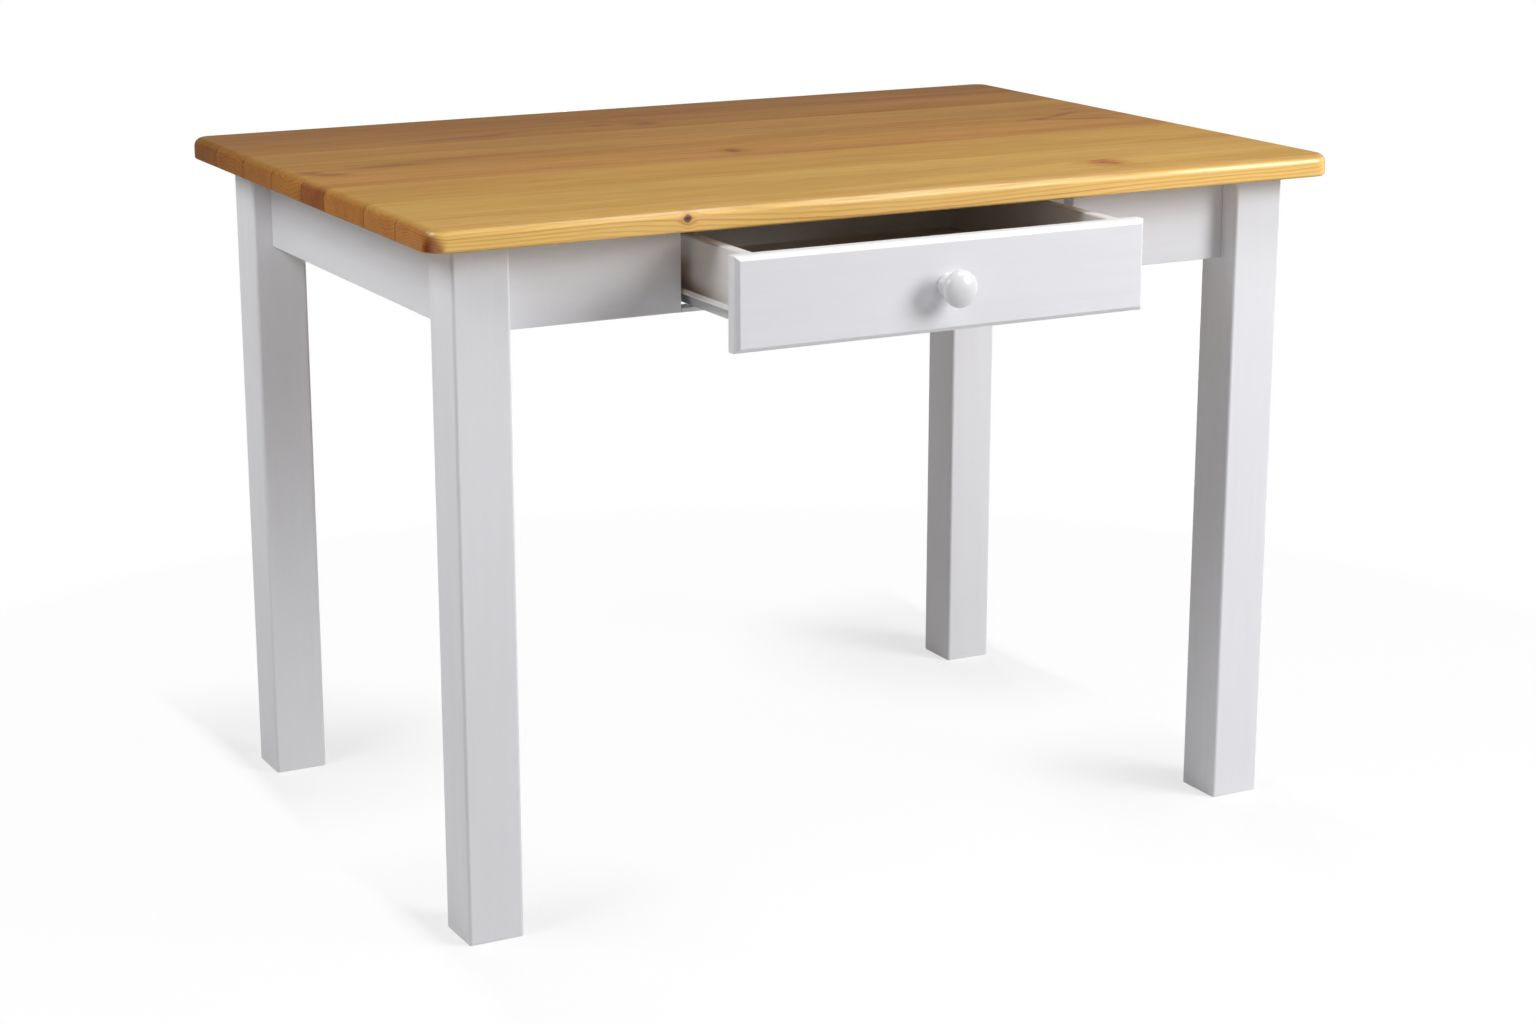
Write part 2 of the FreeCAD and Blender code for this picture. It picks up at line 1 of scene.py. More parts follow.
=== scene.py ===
import bmesh
import bpy
import json
import math
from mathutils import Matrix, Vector


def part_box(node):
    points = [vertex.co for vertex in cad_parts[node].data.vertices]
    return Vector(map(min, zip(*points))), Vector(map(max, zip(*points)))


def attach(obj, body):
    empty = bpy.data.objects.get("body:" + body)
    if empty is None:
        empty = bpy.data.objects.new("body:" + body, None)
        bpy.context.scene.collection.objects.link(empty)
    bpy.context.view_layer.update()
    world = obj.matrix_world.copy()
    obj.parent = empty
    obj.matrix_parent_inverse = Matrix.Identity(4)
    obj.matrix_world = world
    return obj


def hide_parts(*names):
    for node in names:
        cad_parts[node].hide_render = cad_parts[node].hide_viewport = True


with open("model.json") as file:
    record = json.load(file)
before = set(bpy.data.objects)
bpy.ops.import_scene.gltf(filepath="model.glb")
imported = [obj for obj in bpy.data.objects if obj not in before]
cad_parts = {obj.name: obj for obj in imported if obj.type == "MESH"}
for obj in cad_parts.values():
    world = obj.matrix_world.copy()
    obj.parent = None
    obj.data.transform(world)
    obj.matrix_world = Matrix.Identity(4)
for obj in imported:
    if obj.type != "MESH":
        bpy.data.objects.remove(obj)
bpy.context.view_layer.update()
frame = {"nodes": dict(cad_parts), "record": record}

mm = 0.001


def paintTone(red, green, blue):
    # a tone as read on a screen, 0 to 255, made linear
    def straight(value):
        value /= 255
        return value / 12.92 if value <= 0.04045 else ((value + 0.055) / 1.055) ** 2.4
    return (straight(red), straight(green), straight(blue), 1.0)


# working at the bench

def pieceName(node):
    # leg_front_left becomes legFrontLeft
    first, *others = node.split("_")
    return first + "".join(word.capitalize() for word in others)


def clearBench():
    if bpy.context.object and bpy.context.object.mode != "OBJECT":
        bpy.ops.object.mode_set(mode="OBJECT")
    bpy.ops.object.select_all(action="DESELECT")


def takeUp(piece):
    clearBench()
    bpy.context.view_layer.objects.active = piece
    piece.select_set(True)


def addBlock(name, low, high):
    clearBench()
    bpy.ops.mesh.primitive_cube_add(size=1, location=(low + high) / 2, scale=high - low)
    block = bpy.context.object
    block.name = block.data.name = name
    bpy.ops.object.transform_apply(location=True, rotation=True, scale=True)
    return block


def blockFrom(node):
    return addBlock(pieceName(node), *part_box(node))


def openPiece(piece, kind):
    # leaves edit mode on, with nothing selected
    takeUp(piece)
    bpy.ops.object.mode_set(mode="EDIT")
    bpy.ops.mesh.select_mode(type=kind)
    bpy.ops.mesh.select_all(action="DESELECT")
    return bmesh.from_edit_mesh(piece.data)


def pickEdges(piece, wanted):
    shape = openPiece(piece, "EDGE")
    for edge in shape.edges:
        if wanted(edge.verts[0].co, edge.verts[1].co):
            edge.select_set(True)
    bmesh.update_edit_mesh(piece.data)


def pickFaces(piece, wanted):
    shape = openPiece(piece, "FACE")
    for face in shape.faces:
        if wanted(face.calc_center_median()):
            face.select_set(True)
    bmesh.update_edit_mesh(piece.data)


def easeEdges(piece, wanted, width, segments):
    pickEdges(piece, wanted)
    bpy.ops.mesh.bevel(offset=width * mm, offset_type="OFFSET", segments=segments, profile=0.5,
                       affect="EDGES")
    bpy.ops.object.mode_set(mode="OBJECT")


def sawThrough(place, way, **keep):
    # cuts the piece that is open in edit mode
    bpy.ops.mesh.select_all(action="SELECT")
    bpy.ops.mesh.bisect(plane_co=place, plane_no=way, **keep)


def near(a, b):
    return abs(a - b) < 0.01 * mm


def along(axis):
    # true for an edge that runs along one axis
    others = [i for i in range(3) if i != axis]
    return lambda a, b: all(near(a[i], b[i]) for i in others)


def atLevel(axis, level):
    return lambda a, b: near(a[axis], level) and near(b[axis], level)


def anyEdge(a, b):
    return True


def copyPiece(piece, name):
    takeUp(piece)
    bpy.ops.object.duplicate(linked=False)
    twin = bpy.context.object
    twin.name = twin.data.name = name
    return twin


def shiftPiece(piece, move):
    takeUp(piece)
    bpy.ops.transform.translate(value=move)
    bpy.ops.object.transform_apply(location=True, rotation=True, scale=True)


def applyModifier(piece, kind, **settings):
    takeUp(piece)
    bpy.ops.object.modifier_add(type=kind)
    modifier = piece.modifiers[-1]
    for name, value in settings.items():
        setattr(modifier, name, value)
    bpy.ops.object.modifier_apply(modifier=modifier.name)


shading = {"angle": 40, "weight": 80}      # edges sharper than this stay crisp


def smoothFaces(piece):
    takeUp(piece)
    bpy.ops.object.shade_smooth_by_angle(angle=math.radians(shading["angle"]))
    applyModifier(piece, "WEIGHTED_NORMAL", keep_sharp=True, weight=shading["weight"])


def fitPiece(piece, body, slot, material, *nodes):
    smoothFaces(piece)
    piece.data.materials.clear()
    piece.data.materials.append(material)
    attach(piece, body)
    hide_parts(*nodes)


# mixing finishes

grainTurn = {"x": (0, 0, 0), "y": (0, 0, -math.pi / 2), "z": (0, math.pi / 2, 0)}
noiseLook = {"shift": (3.7, 1.3, 2.1), "rough": 0.55, "spread": (0.3, 0.7)}    # for all streaks


def put(tree, kind, sockets, **settings):
    node = tree.nodes.new("ShaderNode" + kind)
    for name, value in settings.items():
        setattr(node, name, value)
    for socket, value in sockets.items():
        if isinstance(value, bpy.types.NodeSocket):
            tree.links.new(value, node.inputs[socket])
        else:
            node.inputs[socket].default_value = value
    return node


def calc(tree, operation, *values):
    return put(tree, "Math", dict(enumerate(values)), operation=operation).outputs[0]


def times(tree, first, second):
    return calc(tree, "MULTIPLY", first, second)


def plus(tree, first, second):
    return calc(tree, "ADD", first, second)


def minus(tree, first, second):
    return calc(tree, "SUBTRACT", first, second)


def slant(tree, a, b):
    # length of a line from its two sides
    return calc(tree, "SQRT", plus(tree, times(tree, a, a), times(tree, b, b)))


def blendTones(tree, amount, first, second, how="MIX"):
    node = put(tree, "Mix", {0: amount, 6: first, 7: second}, data_type="RGBA", blend_type=how)
    return node.outputs[2]


def ease(tree, value, start, end, low=0.0, high=1.0):
    ends = {0: value, 1: start, 2: end, 3: low, 4: high}
    return put(tree, "MapRange", ends, interpolation_type="SMOOTHSTEP").outputs[0]


def alongGrain(tree, coords, grain, front=0.0):
    # millimetres with the grain along x, and y counted from the front edge
    turned = {"Vector": coords.outputs["Object"], "Location": (0, -front, 0),
              "Rotation": grainTurn[grain], "Scale": (1 / mm, 1 / mm, 1 / mm)}
    return put(tree, "Mapping", turned).outputs[0]


def streaks(tree, place, length, width, detail, seed):
    # noise drawn out along the grain, spread to about 0 to 1
    shift = [seed * step for step in noiseLook["shift"]]
    drawn = {"Vector": place, "Location": shift, "Scale": (1 / length, 1 / width, 1 / width)}
    stretched = put(tree, "Mapping", drawn).outputs[0]
    noise = put(tree, "TexNoise", {"Vector": stretched, "Scale": 1.0, "Detail": detail,
                                   "Roughness": noiseLook["rough"]})
    low, high = noiseLook["spread"]
    return put(tree, "MapRange", {0: noise.outputs[0], 1: low, 2: high}).outputs[0]


def streakSet(tree, place, kinds, seed):
    # one noise of each kind, the seeds counted on from the first
    return {kind: streaks(tree, place, *sizes, seed + step)
            for step, (kind, sizes) in enumerate(kinds.items())}


def oval(tree, x, y, patch):
    # 0 in the middle of a patch and 1 at its rim; a leaning patch climbs along the grain
    a = minus(tree, x, patch["x"])
    b = minus(tree, minus(tree, y, patch["y"]), times(tree, a, patch.get("lean", 0.0)))
    a = calc(tree, "DIVIDE", a, patch["long"])
    b = calc(tree, "DIVIDE", b, patch["wide"])
    return slant(tree, a, b)


def emptyFinish(name):
    material = bpy.data.materials.new(name)
    material.use_nodes = True
    material.node_tree.nodes.clear()
    return material, material.node_tree


def startFinish(name):
    material, tree = emptyFinish(name)
    coords = put(tree, "TexCoord", {})
    coat = put(tree, "BsdfPrincipled", {})
    put(tree, "OutputMaterial", {0: coat.outputs[0]})
    return material, tree, coords, coat


def spreadCoat(tree, coat, tone, noise, rough):
    # colour, and a roughness that follows a noise between two values
    low, high = rough
    level = put(tree, "MapRange", {0: noise, 3: low, 4: high}).outputs[0]
    tree.links.new(tone, coat.inputs["Base Color"])
    tree.links.new(level, coat.inputs["Roughness"])


def raiseCoat(tree, coat, height, relief, depth):
    # fine relief, its depth in mm
    bump = put(tree, "Bump", {"Strength": relief, "Distance": depth * mm, "Height": height})
    tree.links.new(bump.outputs[0], coat.inputs["Normal"])


# lacquered pine for the top and bare pine for the hidden blocks

pineStreaks = {      # length and width in mm, and detail
    "sway": (700, 140, 2.0), "waver": (130, 18, 2.0), "broad": (460, 46, 3.0),
    "bands": (210, 10, 3.0), "fibres": (34, 0.9, 2.0), "ragged": (22, 4, 3.0),
    "lines": (150, 2.6, 2.0), "flecks": (42, 6, 2.0),
}
pine = {
    "endFrom": (0.45, 0.9), "edgeFrom": (0.8, 0.35),          # where a face turns to end or edge
    "waver": 1.3, "lateRise": (0.42, 0.9), "lateFall": (1.0, 0.93), "lateLeast": 0.35,
    "broadFrom": (0.1, 0.9), "bandShares": {"bands": 1.0, "flecks": 0.8, "lines": 0.6},
    "knotPull": (0.0, 3.4, 0.9, 0.0), "knotFade": 0.4,        # rims count 1 at the edge of a mark
    "haloRim": (3.0, 0.9), "knotRim": (1.15, 0.75), "heartRim": (0.55, 0.15),
    "stainRim": (1.2, 0.05), "stainFray": 0.7,
    "cornerLevel": (766.0, 746.0, 0.5, 1.3), "cornerFrom": (0.12, 0.5),
    "seamWidth": (1.7, 0.3), "seamShow": (0.0, 1.0, 0.12, 0.85),
    "fibreLeast": 0.95, "fibreShare": 0.1, "roughSpread": 0.06,
    "lateHeight": 0.6, "fibreHeight": 0.3, "bandHeight": 0.5, "depth": 0.2,
    "polishFront": (-0.1, -0.4), "polishSide": (0.85, 0.65),
    "polishBands": (0.25, 0.65, 0.45, 1.0),
}


def pushRings(tree, look, x, y, z, ragged):
    # knots push the rings aside
    ringY, ringZ = y, z
    knots = []
    for knot in look.get("knots", []):
        onEdge = "z" in knot
        spot = {**knot, "y": knot["z"]} if onEdge else knot
        level = ringZ if onEdge else ringY
        rim = plus(tree, oval(tree, x, level, spot), times(tree, ragged, knot["ragged"]))
        if onEdge:      # it shows only near the front edge
            deeper = times(tree, minus(tree, y, knot["depth"]), pine["knotFade"])
            rim = plus(tree, rim, calc(tree, "MAXIMUM", deeper, 0.0))
        pull = times(tree, ease(tree, rim, *pine["knotPull"]), minus(tree, level, spot["y"]))
        if onEdge:
            ringZ = minus(tree, level, pull)
        else:
            ringY = minus(tree, level, pull)
        knots.append((knot, rim))
    return ringY, ringZ, knots


def growRings(tree, look, noise, x, ringY, ringZ):
    # yearly rings round the pith, which leans a little along the board
    sway = times(tree, minus(tree, noise["sway"], 0.5), look["sway"])
    waver = times(tree, minus(tree, noise["waver"], 0.5), pine["waver"])
    pithY, pithZ = look["pith"]
    leanY, leanZ = look["lean"]
    dy = minus(tree, minus(tree, ringY, pithY), times(tree, x, leanY))
    dz = minus(tree, minus(tree, ringZ, pithZ), times(tree, x, leanZ))
    radius = plus(tree, slant(tree, dy, dz), plus(tree, sway, waver))
    years = calc(tree, "DIVIDE", radius, look["ring"])
    season = calc(tree, "FRACT", years)
    year = plus(tree, calc(tree, "FLOOR", years), look["seed"])
    growth = put(tree, "TexWhiteNoise", {"W": year}, noise_dimensions="1D").outputs[0]
    late = times(tree, ease(tree, season, *pine["lateRise"]),
                 ease(tree, season, *pine["lateFall"]))
    least = pine["lateLeast"]
    return times(tree, late, plus(tree, times(tree, growth, 1 - least), least))


def makePine(name, look):
    material, tree, coords, coat = startFinish(name)
    grain = look.get("grain", "x")
    place = alongGrain(tree, coords, grain, look.get("front", 0.0))
    x, y, z = put(tree, "SeparateXYZ", {0: place}).outputs
    turned = {"Vector": coords.outputs["Normal"], "Rotation": grainTurn[grain]}
    facing = put(tree, "Mapping", turned, vector_type="NORMAL").outputs[0]
    nx, ny, nz = put(tree, "SeparateXYZ", {0: facing}).outputs
    endways = calc(tree, "ABSOLUTE", nx)
    endGrain = ease(tree, endways, *pine["endFrom"])
    edge = ease(tree, calc(tree, "ABSOLUTE", nz), *pine["edgeFrom"])
    edge = times(tree, edge, minus(tree, 1.0, endGrain))
    noise = streakSet(tree, place, pineStreaks, look["seed"])
    ragged = minus(tree, noise["ragged"], 0.5)
    ringY, ringZ, knots = pushRings(tree, look, x, y, z, ragged)
    late = growRings(tree, look, noise, x, ringY, ringZ)

    # colour: broad clouds, bands, rings
    broad = ease(tree, noise["broad"], *pine["broadFrom"])
    tone = blendTones(tree, broad, look["light"], look["deep"])
    for kind, share in pine["bandShares"].items():
        amount = times(tree, noise[kind], look["bands"] * share)
        tone = blendTones(tree, amount, tone, look["streak"], "MULTIPLY")
    # the upright and rounded edges get a lighter golden tone: painted light, brighter than the
    # flat top
    tone = blendTones(tree, times(tree, edge, look["edgePaintedLightShare"]), tone, look["edgePaintedLight"])
    shown = plus(tree, look["rings"], times(tree, edge, look["edgeRings"]))
    shown = plus(tree, shown, times(tree, endGrain, look["endRings"]))
    tone = blendTones(tree, times(tree, late, shown), tone, look["late"], "MULTIPLY")

    # marks: stains, then knots with their halo and heart
    for stain in look.get("stains", []):
        fray = minus(tree, plus(tree, noise["bands"], noise["lines"]), 1.0)
        rim = plus(tree, oval(tree, x, y, stain), times(tree, fray, pine["stainFray"]))
        amount = ease(tree, rim, *pine["stainRim"], 0.0, stain["strength"])
        tone = blendTones(tree, amount, tone, look["stainTone"])
    for knot, rim in knots:
        halo = ease(tree, rim, *pine["haloRim"], 0.0, knot["halo"])
        tone = blendTones(tree, halo, tone, look["late"], "MULTIPLY")
        for reach, colour in (("knotRim", "tone"), ("heartRim", "heart")):
            amount = ease(tree, rim, *pine[reach], 0.0, knot["strength"])
            tone = blendTones(tree, amount, tone, knot[colour])

    # ends: deeper end grain and rounded corners, glue lines plain on the end grain only
    tone = blendTones(tree, endGrain, tone, look["endTone"], "MULTIPLY")
    # rounded corners darker towards the bottom: partly end grain taking up more stain, partly
    # painted shade
    corner = calc(tree, "MAXIMUM", times(tree, nx, ny), 0.0)
    corner = times(tree, corner, ease(tree, z, *pine["cornerLevel"]))
    amount = ease(tree, corner, *pine["cornerFrom"], 0.0, look["cornerStainShade"])
    tone = blendTones(tree, amount, tone, look["cornerStainShadeTone"], "MULTIPLY")
    for seam in look.get("seams", []):
        gap = calc(tree, "ABSOLUTE", minus(tree, y, seam))
        line = ease(tree, gap, *pine["seamWidth"])
        line = times(tree, line, ease(tree, endGrain, *pine["seamShow"]))
        tone = blendTones(tree, line, tone, look["seamTone"], "MULTIPLY")
    value = plus(tree, pine["fibreLeast"], times(tree, noise["fibres"], pine["fibreShare"]))
    fibre = put(tree, "CombineColor", {0: value, 1: value, 2: value}).outputs[0]
    tone = blendTones(tree, 1.0, tone, fibre, "MULTIPLY")

    rough, spread = look["rough"], pine["roughSpread"]
    spreadCoat(tree, coat, tone, noise["lines"], (rough - spread, rough + spread))
    height = plus(tree, times(tree, noise["fibres"], pine["fibreHeight"]),
                  times(tree, noise["bands"], pine["bandHeight"]))
    height = plus(tree, times(tree, late, pine["lateHeight"]), height)
    raiseCoat(tree, coat, height, look["relief"], pine["depth"])
    coat.inputs["Specular IOR Level"].default_value = look["shine"]
    if look["polish"]:      # hands keep the rounded front edge glossier than the flat
        polish = ease(tree, ny, *pine["polishFront"], 0.0, look["polish"])
        polish = times(tree, polish, ease(tree, endways, *pine["polishSide"]))
        polish = times(tree, polish, ease(tree, noise["bands"], *pine["polishBands"]))
        tree.links.new(polish, coat.inputs["Coat Weight"])
        coat.inputs["Coat Roughness"].default_value = look["polishRough"]
        coat.inputs["Coat IOR"].default_value = look["polishIor"]
    return material


knotRed = paintTone(166, 98, 42)
knotDark = paintTone(112, 60, 30)
stainBrown = paintTone(118, 68, 32)
lacquer = {
    "late": paintTone(216, 186, 144), "streak": paintTone(220, 204, 178),
    "edgePaintedLight": paintTone(249, 205, 118), "edgePaintedLightShare": 0.9, "stainTone": stainBrown,
    "cornerStainShadeTone": paintTone(170, 112, 70), "cornerStainShade": 0.85,
    "seamTone": paintTone(160, 116, 76),
    "rings": 0.09, "edgeRings": 0.7, "endRings": 0.6, "bands": 0.3, "sway": 18,
    "rough": 0.5, "relief": 0.12, "shine": 0.03,
    "polish": 0.65, "polishRough": 0.25, "polishIor": 1.7,
}
# the boards darken from the front one to the back one: partly their own tone, partly painted shade
# of light falling off towards the back
topBoards = [    # from the drawer side to the back, places counted from the front edge of the top
    {"seed": 1, "pith": (56, 690), "lean": (0.004, 0.012), "ring": 3.4,
     "light": paintTone(200, 159, 83), "deep": paintTone(190, 147, 72),
     "endTone": paintTone(238, 206, 220),
     "knots": [{"x": 284, "y": 70, "long": 13, "wide": 17, "ragged": 2.4, "strength": 0.8,
                "halo": 0.7, "tone": knotRed, "heart": paintTone(126, 68, 30)},
               {"x": -268, "z": 760, "depth": 6, "long": 4.6, "wide": 4.4, "ragged": 0.35,
                "strength": 0.95, "halo": 0.5, "tone": knotDark,
                "heart": paintTone(74, 36, 22)}]},
    {"seed": 2, "pith": (113, 860), "lean": (-0.01, 0.02), "ring": 4.2,
     "light": paintTone(197, 157, 82), "deep": paintTone(187, 145, 71),
     "endTone": paintTone(242, 213, 216)},
    {"seed": 3, "pith": (348, 800), "lean": (0.015, 0.0), "ring": 3.6,
     "light": paintTone(190, 146, 70), "deep": paintTone(178, 133, 60),
     "endTone": paintTone(249, 220, 226)},
    {"seed": 4, "pith": (338, 690), "lean": (0.0, 0.025), "ring": 4.0,
     "light": paintTone(180, 130, 60), "deep": paintTone(168, 116, 51),
     "endTone": paintTone(212, 174, 190),
     "knots": [{"x": -39, "y": 344, "long": 9, "wide": 15, "ragged": 0.9, "strength": 0.65,
                "halo": 0.4, "tone": stainBrown, "heart": knotDark}]},
    {"seed": 5, "pith": (428, 880), "lean": (0.02, -0.03), "ring": 4.6,
     "light": paintTone(176, 129, 56), "deep": paintTone(162, 113, 47),
     "endTone": paintTone(255, 238, 244),
     "stains": [{"x": -526, "y": 402, "long": 18, "wide": 16, "strength": 0.7},
                {"x": -508, "y": 383, "long": 26, "wide": 17, "lean": -0.4, "strength": 0.7},
                {"x": -424, "y": 416, "long": 66, "wide": 12, "strength": 0.75},
                {"x": -330, "y": 436, "long": 230, "wide": 15, "lean": 0.02, "strength": 0.5},
                {"x": 419, "y": 406, "long": 20, "wide": 11, "strength": 1.0},
                {"x": 465, "y": 428, "long": 46, "wide": 9, "lean": 0.5, "strength": 0.8},
                {"x": 470, "y": 383, "long": 54, "wide": 8, "lean": -0.25, "strength": 0.75},
                {"x": 390, "y": 403, "long": 14, "wide": 13, "strength": 0.35}]},
    {"seed": 6, "pith": (378, 740), "lean": (-0.02, 0.01), "ring": 3.8,
     "light": paintTone(175, 130, 60), "deep": paintTone(163, 118, 53),
     "endTone": paintTone(254, 232, 234),
     "stains": [{"x": 500, "y": 470, "long": 30, "wide": 8, "lean": 0.05, "strength": 0.55}]},
    {"seed": 7, "pith": (608, 650), "lean": (0.01, 0.03), "ring": 4.4,
     "light": paintTone(157, 111, 45), "deep": paintTone(146, 100, 39),
     "endTone": paintTone(255, 238, 238),
     "knots": [{"x": -31, "y": 596, "long": 13, "wide": 10, "ragged": 1.6, "strength": 0.6,
                "halo": 0.4, "tone": stainBrown, "heart": stainBrown}],
     "stains": [{"x": -270, "y": 583, "long": 90, "wide": 11, "lean": 0.09, "strength": 0.7},
                {"x": -225, "y": 589, "long": 34, "wide": 9, "lean": 0.2, "strength": 0.5},
                {"x": -85, "y": 605, "long": 18, "wide": 12, "strength": 0.65},
                {"x": -70, "y": 638, "long": 18, "wide": 10, "strength": 0.5},
                {"x": -28, "y": 642, "long": 18, "wide": 9, "strength": 0.4}]},
    {"seed": 8, "pith": (818, 790), "lean": (-0.015, 0.0), "ring": 3.4,
     "light": paintTone(147, 102, 40), "deep": paintTone(137, 90, 33),
     "endTone": paintTone(246, 232, 250)},
]


def makeTop():
    # one slab with rounded corners and edges, sawn into its boards
    slab = {"corner": 22, "cornerSteps": 10, "upper": 10, "upperSteps": 8,
            "lower": 3, "lowerSteps": 4}
    boxes = [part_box("top_board_%d" % n) for n in range(1, len(topBoards) + 1)]
    low = Vector([min(b[0][i] for b in boxes) for i in range(3)])
    high = Vector([max(b[1][i] for b in boxes) for i in range(3)])
    whole = addBlock("topSlab", low, high)
    easeEdges(whole, along(2), slab["corner"], slab["cornerSteps"])
    easeEdges(whole, atLevel(2, high.z), slab["upper"], slab["upperSteps"])
    easeEdges(whole, atLevel(2, low.z), slab["lower"], slab["lowerSteps"])
    for number, look in enumerate(topBoards, 1):
        node = "top_board_%d" % number
        front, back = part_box(node)[0].y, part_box(node)[1].y
        board = copyPiece(whole, pieceName(node))
        bpy.ops.object.mode_set(mode="EDIT")
        for level, cutFront in ((front, True), (back, False)):
            if near(level, low.y) or near(level, high.y):
                continue
            sawThrough((0, level, 0), (0, 1, 0), use_fill=True, clear_inner=cutFront,
                       clear_outer=not cutFront)
        bpy.ops.object.mode_set(mode="OBJECT")
        seams = [(level - low.y) / mm for level in (front, back)]
        look = {**lacquer, "front": low.y / mm, "seams": seams, **look}
        wood = makePine("lacqueredPine%d" % number, look)
        fitPiece(board, "table_frame", "lacquered_pine", wood, node)
    takeUp(whole)
    bpy.ops.object.delete()
    print("top:", len(topBoards), "lacquered boards")


# white paint over the grain

paintStreaks = {      # length and width in mm, and detail
    "broad": (500, 160, 2.0), "bands": (240, 12, 3.0), "fibres": (60, 2.2, 2.0),
    "skin": (1.6, 1.6, 1.0),
}


def makePaint(name, look):
    material, tree, coords, coat = startFinish(name)
    place = alongGrain(tree, coords, look["grain"])
    noise = streakSet(tree, place, paintStreaks, look["seed"])
    bands, fibres = noise["bands"], noise["fibres"]
    tone = blendTones(tree, noise["broad"], look["white"], look["shade"])
    tone = blendTones(tree, times(tree, bands, look["show"]), tone, look["grainTone"])
    amount = times(tree, fibres, look["show"] * look["fibreShare"])
    tone = blendTones(tree, amount, tone, look["grainTone"])
    rough = look["rough"]
    spreadCoat(tree, coat, tone, bands, (rough - look["smoother"], rough + look["rougher"]))
    height = plus(tree, times(tree, fibres, look["fibreHeight"]),
                  times(tree, noise["skin"], look["skinHeight"]))
    height = plus(tree, times(tree, bands, look["bandHeight"]), height)
    raiseCoat(tree, coat, height, look["relief"], look["depth"])
    coat.inputs["Specular IOR Level"].default_value = look["shine"]
    return material


satin = {
    "white": paintTone(233, 233, 237), "shade": paintTone(229, 229, 233),
    "grainTone": paintTone(206, 205, 207), "show": 0.1, "fibreShare": 0.6,
    "rough": 0.4, "smoother": 0.04, "rougher": 0.06, "shine": 0.3,
    "relief": 0.16, "bandHeight": 0.6, "fibreHeight": 0.3, "skinHeight": 0.08, "depth": 0.15,
}
# its white is a little darker than the other paint: painted shade on the knob
turnedGloss = {      # the knob is sprayed and shinier
    **satin, "white": paintTone(227, 227, 230), "shade": paintTone(223, 223, 226),
    "rough": 0.2, "relief": 0.06, "shine": 0.5,
}
boxSatin = {
    **satin, "white": paintTone(232, 231, 231), "shade": paintTone(226, 225, 224), "show": 0.12,
}
whiteUp = makePaint("whitePaintUpright", {**satin, "grain": "z", "seed": 11})
whiteLong = makePaint("whitePaintLong", {**satin, "grain": "x", "seed": 12})
whiteDeep = makePaint("whitePaintDeep", {**satin, "grain": "y", "seed": 13})
whiteTurned = makePaint("whitePaintTurned", {**turnedGloss, "grain": "y", "seed": 16})
boxDeep = makePaint("drawerBoxPaintDeep", {**boxSatin, "grain": "y", "seed": 14})
boxLong = makePaint("drawerBoxPaintLong", {**boxSatin, "grain": "x", "seed": 15})
print("finishes: pine and white paint mixed")

makeTop()


def makeLegs():
    # one leg planed, rounded and chamfered at the foot, then set at the four corners
    leg = {"edge": 4, "edgeSteps": 6, "foot": 2, "footSteps": 2}
    first = blockFrom("leg_front_left")
    easeEdges(first, along(2), leg["edge"], leg["edgeSteps"])
    easeEdges(first, atLevel(2, 0.0), leg["foot"], leg["footSteps"])
    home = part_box("leg_front_left")[0]
    for node in ("leg_front_right", "leg_back_left", "leg_back_right"):
        copy = copyPiece(first, pieceName(node))
        shiftPiece(copy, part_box(node)[0] - home)
        fitPiece(copy, "table_frame", "white_paint", whiteUp, node)
    fitPiece(first, "table_frame", "white_paint", whiteUp, "leg_front_left")
    print("legs: 4 square legs")


makeLegs()


def makeAprons():
    board = {"edge": 1.5, "edgeSteps": 3, "railEdge": 0.8, "railSteps": 2}
    for node, way, finish in (("apron_left", 1, whiteDeep), ("apron_right", 1, whiteDeep),
                              ("apron_back", 0, whiteLong), ("apron_front_left", 0, whiteLong),
                              ("apron_front_right", 0, whiteLong)):
        apron = blockFrom(node)
        easeEdges(apron, lambda a, b: along(way)(a, b) or along(2)(a, b), board["edge"],
                  board["edgeSteps"])
        fitPiece(apron, "table_frame", "white_paint", finish, node)
    openLeft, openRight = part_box("guide_rail_left")[1].x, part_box("guide_rail_right")[0].x
    for node in ("drawer_upper_rail", "drawer_lower_rail"):
        low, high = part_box(node)
        low.x, high.x = openLeft, openRight      # what is let into the aprons stays hidden
        rail = addBlock(pieceName(node), low, high)
        easeEdges(rail, along(0), board["railEdge"], board["railSteps"])
        fitPiece(rail, "table_frame", "white_paint", whiteLong, node)
    print("aprons: 5 boards and the two drawer rails")


makeAprons()


def makeDrawerFront():
    # a plain board, bevelled round its face, with the outer arris sanded soft
    face = {"bevel": 5, "crisp": 0.4, "crispSteps": 2, "soft": 1.8, "softSteps": 5,
            "back": 0.8, "backSteps": 2}
    low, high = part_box("drawer_front")
    front = blockFrom("drawer_front")
    easeEdges(front, atLevel(1, low.y), face["bevel"], 1)
    bevelBack = low.y + face["bevel"] * mm
    easeEdges(front, atLevel(1, low.y), face["crisp"], face["crispSteps"])
    easeEdges(front, atLevel(1, bevelBack), face["soft"], face["softSteps"])
    easeEdges(front, atLevel(1, high.y), face["back"], face["backSteps"])
    fitPiece(front, "drawer", "white_paint", whiteLong, "drawer_front")


